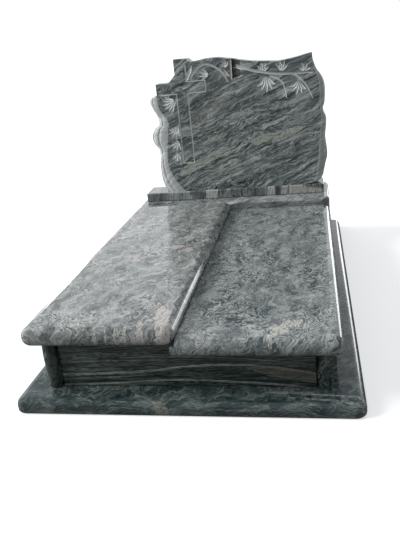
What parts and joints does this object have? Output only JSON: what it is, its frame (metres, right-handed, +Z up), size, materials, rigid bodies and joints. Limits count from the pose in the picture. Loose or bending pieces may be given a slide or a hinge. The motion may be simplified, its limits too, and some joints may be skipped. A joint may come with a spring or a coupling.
{
  "type": "granite grave monument",
  "caption": "Polished granite grave monument: base slab, hollow kerb box, stepped ledger slabs, rear block, plinth and free-form headstone with a carved cross and leaf sprays.",
  "frame": {"origin": "middle of the base slab's underside, on the ground", "axes": "+Y along the grave from its foot end to the headstone, +Z up, +X to the right as seen from the foot end"},
  "size_m": [1.1, 1.8494, 0.9932],
  "materials": {
    "base_slab_stone": "polished granite with flowing pale veins",
    "kerb_stone": "polished granite with flowing pale veins",
    "post_stone": "polished granite with flowing pale veins",
    "left_ledger_stone": "polished granite with flowing pale veins",
    "right_ledger_stone": "polished granite with flowing pale veins",
    "rear_block_stone": "polished granite with flowing pale veins",
    "plinth_stone": "polished granite with flowing pale veins",
    "headstone_stone": "polished granite with flowing pale veins"
  },
  "bodies": {
    "root": {"base_slab": "base_slab_stone", "front_panel": "kerb_stone", "left_panel": "kerb_stone", "right_panel": "kerb_stone", "back_panel": "kerb_stone", "cross_wall": "kerb_stone", "front_post_left": "post_stone", "front_post_right": "post_stone", "ledger_left": "left_ledger_stone", "ledger_right": "right_ledger_stone", "rear_block": "rear_block_stone", "plinth": "plinth_stone", "headstone": "headstone_stone"}
  },
  "joints": []
}
